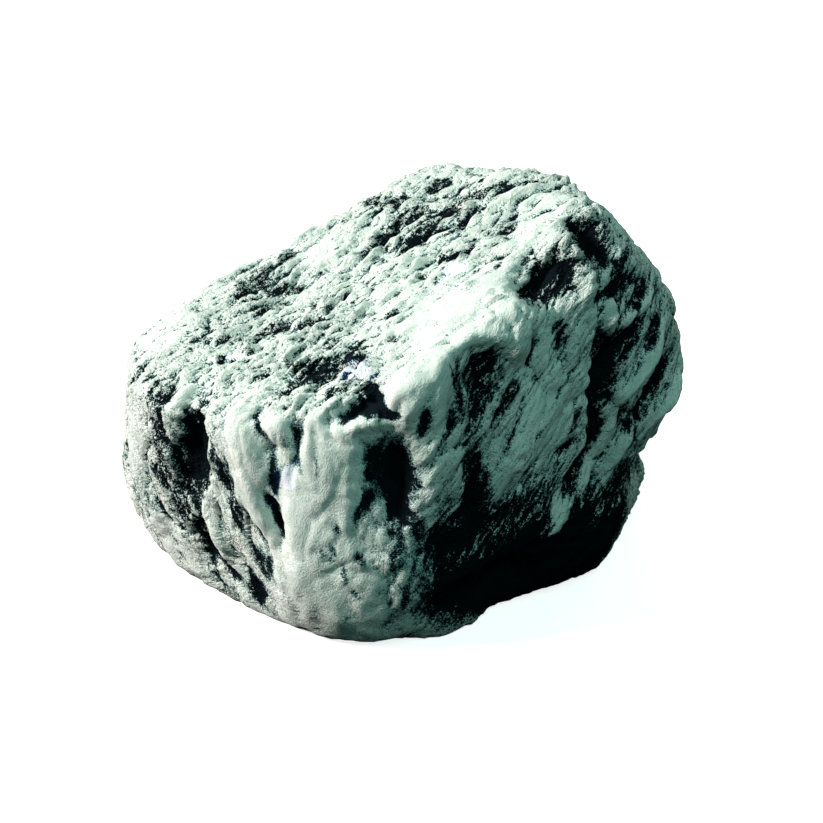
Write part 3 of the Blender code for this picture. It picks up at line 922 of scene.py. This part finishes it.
# Crumbs: their size and how far they bend, how quickly they fall off from their edges, and
# the even value that stands for them on the smooth nose.
CRUMB_SIZE = (1.1, 0.55, 0.6)
CRUMB_BEND = 2.0
CRUMB_EDGE = 4.0
NOSE_CRUMB = 0.3

# How far each thing darkens the stone, which is grey from about 1 and black from about 1.5.
MINERAL_AND_SHADE_DARK = 2.3
MINERAL_DARK_LESS_ON_TOP = 0.4
PACKED_FROM = 1.4
PACKED_DARK = 3.0
CLEAN_PALE = 0.9
# The crevice and hollow weights paint shade, with dark minerals, into creases and hollows.
CREVICE_SHADE_AND_MINERAL = 5.5
HOLLOW_SHADE_AND_MINERAL = 0.8
CLUMP_DARK = 4.0
STREAK_DARK = 4.0
GRIT_DARK = 0.6
COARSE_GRIT_DARK = 8.0
CRUMB_MEAN = 0.4
CRUMB_DARK = 1.4
GRAIN_DARK = 2.4
SPECK_DARK = 2.2
GREY_RAMP = (0.2, 1.3)
BLACK_RAMP = (1.1, 1.7)

# How strongly the fine patterns show: everywhere, less where clean and on the nose, and
# more where dark mineral lies, above all on top.
FINE_SHOWS = 1.1
FINE_LESS_CLEAN = 0.6
FINE_LESS_NOSE = 0.4
FINE_MORE_DARK = 0.4
FINE_MORE_DARK_TOP = 0.6

# The pale tones and the painted glints: how far each pattern shows in them, and where they start.
PALE_STREAK = 0.8
PALE_GRAIN = 0.9
PALE_RAMP = (0.35, 0.65)
BLUE_RAMP = (0.01, 0.2)
RAGGED_RAMP = (0.05, 0.3)
RAGGED_CLUMP = 2.0
GLINT_RAMP = (0.34, 0.42)

# The relief: each pattern's height where the skin is smooth, and what a coarse skin adds.
CRUMB_CUT = 0.25
COARSE_CRUMB_RISE = 1.6
GRIT_RISE = (0.1, 0.8)
STREAK_RISE = (0.2, 1.2)
CLUMP_RISE = (0.1, 2.6)
GRAIN_RISE = 0.14


class Wire:
    """A value that runs through a shader.  An expression on wires and numbers adds a Math
    node for each operator, and node() adds any other node."""

    def __init__(self, tree, socket=None):
        self.tree = tree
        self.socket = socket

    def node(self, kind, settings=None, inputs=None, output=0):
        """The output of a new node, after its settings and then its inputs' values and links."""
        node = self.tree.nodes.new(kind)
        for name, value in (settings or {}).items():
            setattr(node, name, value)
        for name, value in (inputs or {}).items():
            if isinstance(value, Wire):
                self.tree.links.new(value.socket, node.inputs[name])
            else:
                node.inputs[name].default_value = value
        return Wire(self.tree, node.outputs[output])

    def math(self, operation, other):
        """A Math node on this wire and another wire or number."""
        return self.node("ShaderNodeMath", {"operation": operation}, {0: self, 1: other})

    def __add__(self, other):
        return self.math("ADD", other)

    def __sub__(self, other):
        return self.math("SUBTRACT", other)

    def __rsub__(self, other):
        return self * -1.0 + other

    def __mul__(self, other):
        return self.math("MULTIPLY", other)

    __radd__ = __add__
    __rmul__ = __mul__

    def at_least(self, least):
        """The larger of the wire and least."""
        return self.math("MAXIMUM", least)

    def at_most(self, most):
        """The smaller of the wire and most."""
        return self.math("MINIMUM", most)

    def ramp(self, low, high):
        """0 below low, 1 above high, and 3t^2 - 2t^3 between, t being the share of the way."""
        settings = {"interpolation_type": "SMOOTHSTEP"}
        limits = {"Value": self, "From Min": low, "From Max": high}
        return self.node("ShaderNodeMapRange", settings, limits)

    def mix(self, low, high):
        """A colour: low where the wire is 0, high where it is 1, and their blend between.  The
        Mix node has its colours at sockets 6 and 7, and their blend at output 2."""
        colours = {"Factor": self, 6: low, 7: high}
        return self.node("ShaderNodeMix", {"data_type": "RGBA"}, colours, output=2)


def noise(vector, name):
    """Soft noise, with a mean of 0.5, at the coordinates of a vector."""
    scale, octaves, rough = NOISES[name]
    inputs = {"Vector": vector, "Scale": scale, "Detail": octaves, "Roughness": rough}
    return vector.node("ShaderNodeTexNoise", inputs=inputs)


def along_lenses(place, side, size, bend=0.0):
    """Coordinates along, across and out of a side's lenses: the place dotted with each of the
    side's ways, plus the bend, both over the size that way."""
    parts = {}
    for axis, way, length in zip("XYZ", grain_axes(side), size):
        dots = {0: place, 1: tuple(way / length)}
        dot = place.node("ShaderNodeVectorMath", {"operation": "DOT_PRODUCT"}, dots, output="Value")
        parts[axis] = dot + bend * (1 / length)
    return place.node("ShaderNodeCombineXYZ", inputs=parts)


def side_patterns(place, shares):
    """Streaks, crumbs and grittiness: each side's own, summed by its share.  Streaks are noise
    drawn out along the lenses, and a crumb is the distance from the edges of loose cells."""
    streaks, crumbs, gritty = 0.0, 0.0, 0.0
    bend = (noise(place, "bend") - 0.5) * CRUMB_BEND
    for side, share in shares.items():
        size, weight, grit = STREAKS[side]
        streak = noise(along_lenses(place, side, size), "streak") - 0.5
        streaks = streak * weight * share + streaks
        gritty = share * grit + gritty
        crumb = NOSE_CRUMB
        if side != "nose":
            cells = {"Vector": along_lenses(place, side, CRUMB_SIZE, bend), "Scale": 1.0}
            crumb = place.node("ShaderNodeTexVoronoi", {"feature": "DISTANCE_TO_EDGE"}, cells)
        crumbs = share * crumb + crumbs
    return streaks, crumbs, gritty


def howlite_patterns(tree):
    """The wires that the finish is mixed from: the measures stored at the stone's points, and
    the patterns on its coordinates in millimetres."""
    metres = Wire(tree).node("ShaderNodeTexCoord", output="Object")
    scale = {0: metres, "Scale": 1 / MM}
    place = metres.node("ShaderNodeVectorMath", {"operation": "SCALE"}, scale)
    names = ("crevice", "hollow", "dark", "clean", "coarse", "glint", "top", "left", "nose")
    wires = {
        name: place.node("ShaderNodeAttribute", {"attribute_name": name}, output="Fac")
        for name in names
    }
    shares = {side: wires[side] for side in ("top", "left", "nose")}
    shares["flank"] = 1.0 - shares["top"] - shares["left"] - shares["nose"]
    streaks, crumbs, gritty = side_patterns(place, shares)
    specks = noise(place, "speck").ramp(*SPECK_RAMP)
    wires["streaks"] = streaks
    wires["crumbs"] = crumbs
    wires["clump"] = (noise(place, "clump") - 0.5) * gritty
    wires["grit"] = (noise(place, "grit") - 0.5) * gritty
    wires["grain"] = noise(place, "grain") - 0.5
    wires["specks"] = specks * noise(place, "speck field").ramp(*SPECK_FIELD_RAMP) * gritty
    wires["cloud"] = noise(place, "cloud")
    return SimpleNamespace(**wires)


def darkness(skin):
    """How dark the stone is: each cause times its weight, summed.  Streaks, clumps and grit
    are taken off, times how strongly the fine patterns show there."""
    full = skin.dark.at_most(1.0)
    packed = (skin.dark - PACKED_FROM).at_least(0.0)
    shows = FINE_SHOWS - skin.clean * FINE_LESS_CLEAN - skin.nose * FINE_LESS_NOSE
    shows = shows + full * (skin.top * FINE_MORE_DARK_TOP + FINE_MORE_DARK)
    grit = skin.grit * (skin.coarse * COARSE_GRIT_DARK + GRIT_DARK)
    fine = (skin.clump * CLUMP_DARK + skin.streaks * STREAK_DARK + grit) * shows
    edges = (1.0 - skin.crumbs * CRUMB_EDGE).at_least(0.0).at_most(1.0)
    # The dark measure here is dark minerals and the painted shade of the stain rows; past PACKED_FROM
    # it turns black.
    mineral_and_painted_shade = full * (MINERAL_AND_SHADE_DARK - skin.top * MINERAL_DARK_LESS_ON_TOP) + packed * PACKED_DARK
    # Painted shade, partly dark minerals: the deeper a point lies in a crevice or hollow, the darker.
    depth = skin.crevice * CREVICE_SHADE_AND_MINERAL + skin.hollow * HOLLOW_SHADE_AND_MINERAL
    crumbs = (edges - CRUMB_MEAN) * skin.coarse * CRUMB_DARK
    flecks = skin.specks * SPECK_DARK - skin.grain * GRAIN_DARK
    return mineral_and_painted_shade + depth + crumbs + flecks - skin.clean * CLEAN_PALE - fine


def howlite_colour(skin):
    """Chalk to white by cloud, streak and grain; then to grey and to black as it darkens, by
    dark minerals and painted shade; a painted blue fringe in place of black near the painted
    glints; and painted lilac highlight in their ragged middles."""
    dark = darkness(skin)
    pale = skin.cloud + skin.streaks * PALE_STREAK + skin.grain * PALE_GRAIN
    colour = pale.ramp(*PALE_RAMP).mix(CHALK, WHITE)
    colour = dark.ramp(*GREY_RAMP).mix(colour, GREY)
    colour = dark.ramp(*BLACK_RAMP).mix(colour, skin.glint.ramp(*BLUE_RAMP).mix(BLACK, PAINTED_FRINGE_BLUE))
    ragged = (skin.clump * RAGGED_CLUMP + skin.grit) * skin.glint.ramp(*RAGGED_RAMP)
    return (skin.glint + ragged).ramp(*GLINT_RAMP).mix(colour, PAINTED_GLINT_LILAC)


def howlite_relief(skin):
    """Height of the skin: each pattern times its rise, which grows with how coarse it is."""
    relief = skin.crumbs.at_most(CRUMB_CUT) * (skin.coarse * COARSE_CRUMB_RISE)
    rises = ((skin.grit, GRIT_RISE), (skin.streaks, STREAK_RISE), (skin.clump, CLUMP_RISE))
    for pattern, (smooth_rise, coarse_rise) in rises:
        relief = relief + pattern * (skin.coarse * coarse_rise + smooth_rise)
    return relief + skin.grain * GRAIN_RISE


def howlite_finish():
    """Matt stone whose colour and relief come from its measures and patterns."""
    material = bpy.data.materials.new("howlite")
    material.use_nodes = True
    tree = material.node_tree
    shader = tree.nodes["Principled BSDF"]
    skin = howlite_patterns(tree)
    tree.links.new(howlite_colour(skin).socket, shader.inputs["Base Color"])
    shader.inputs["Roughness"].default_value = STONE_ROUGHNESS
    shader.inputs["Specular IOR Level"].default_value = STONE_SPECULAR
    relief = howlite_relief(skin)
    heights = {"Strength": 1.0, "Distance": RELIEF_HEIGHT, "Height": relief}
    bump = relief.node("ShaderNodeBump", inputs=heights)
    tree.links.new(bump.socket, shader.inputs["Normal"])
    return material


mesh = stone_mesh()
mesh.materials.append(howlite_finish())
stone = bpy.data.objects.new("howlite", mesh)
bpy.context.scene.collection.objects.link(stone)
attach(stone, "root")
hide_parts("howlite_stone")

# ---------------------------------------------------------------------------------
# The floor and the lights.  The stone lies on a plain white floor that glows a little.
# A small key light on the left gives it its dark right side, and a wide light above,
# one behind and one beside it lift the shade, with a dim green-blue sky over all.
# ---------------------------------------------------------------------------------
FLOOR_HALF = 1.5
FLOOR_COLOUR = (0.93, 0.94, 0.94, 1.0)
FLOOR_ROUGHNESS = 0.8
FLOOR_GLOW = 0.8
SKY_COLOUR = (0.45, 1.0, 0.88, 1.0)
SKY_STRENGTH = 0.15

# Lights: the way to each from the stone, its width, its power and its colour.
LIGHT_DISTANCE = 0.6
LIGHTS = {
    "key": ((-0.75, -0.12, 0.52), 0.13, 5.5, (1.0, 0.94, 0.92)),
    "rim": ((0.35, 0.68, 0.62), 0.5, 0.7, (1.0, 1.0, 1.0)),
    "side": ((-0.95, 0.25, 0.15), 0.3, 0.7, (1.0, 1.0, 1.0)),
    "fill": ((0.30, -0.58, 0.75), 0.4, 1.0, (0.50, 1.0, 0.94)),
}


def make_floor():
    """A level square around the origin.  It lends the stone no light of its own."""
    data = bpy.data.meshes.new("floor")
    corners = [(x * FLOOR_HALF, y * FLOOR_HALF, 0) for x, y in ((-1, -1), (1, -1), (1, 1), (-1, 1))]
    data.from_pydata(corners, [], [(0, 1, 2, 3)])
    material = bpy.data.materials.new("floor")
    material.use_nodes = True
    shader = material.node_tree.nodes["Principled BSDF"]
    shader.inputs["Base Color"].default_value = FLOOR_COLOUR
    shader.inputs["Roughness"].default_value = FLOOR_ROUGHNESS
    shader.inputs["Emission Color"].default_value = (1.0, 1.0, 1.0, 1.0)
    shader.inputs["Emission Strength"].default_value = FLOOR_GLOW
    data.materials.append(material)
    floor = bpy.data.objects.new("floor", data)
    floor.visible_diffuse = False
    floor.visible_glossy = False
    bpy.context.scene.collection.objects.link(floor)


def make_light(name, way, width, power, colour):
    """A round light that faces the camera's aim, from the light distance along its way."""
    way = Vector(way).normalized()
    data = bpy.data.lights.new(name, "AREA")
    data.shape = "DISK"
    data.size = width
    data.energy = power
    data.color = colour
    light = bpy.data.objects.new(name, data)
    light.location = CAMERA_AIM + way * LIGHT_DISTANCE
    light.rotation_euler = way.to_track_quat("Z", "Y").to_euler()
    bpy.context.scene.collection.objects.link(light)


def make_sky():
    """A sky as strong as the square of how steeply up it lies, and dark below the level."""
    world = bpy.data.worlds.new("studio")
    world.use_nodes = True
    tree = world.node_tree
    look = Wire(tree).node("ShaderNodeTexCoord", output="Generated")
    rise = look.node("ShaderNodeSeparateXYZ", inputs={0: look}, output="Z").at_least(0.0)
    background = tree.nodes["Background"]
    background.inputs["Color"].default_value = SKY_COLOUR
    tree.links.new((rise * rise * SKY_STRENGTH).socket, background.inputs["Strength"])
    bpy.context.scene.world = world


make_floor()
for name, row in LIGHTS.items():
    make_light(name, *row)
make_sky()
bpy.context.scene.view_settings.view_transform = "Standard"
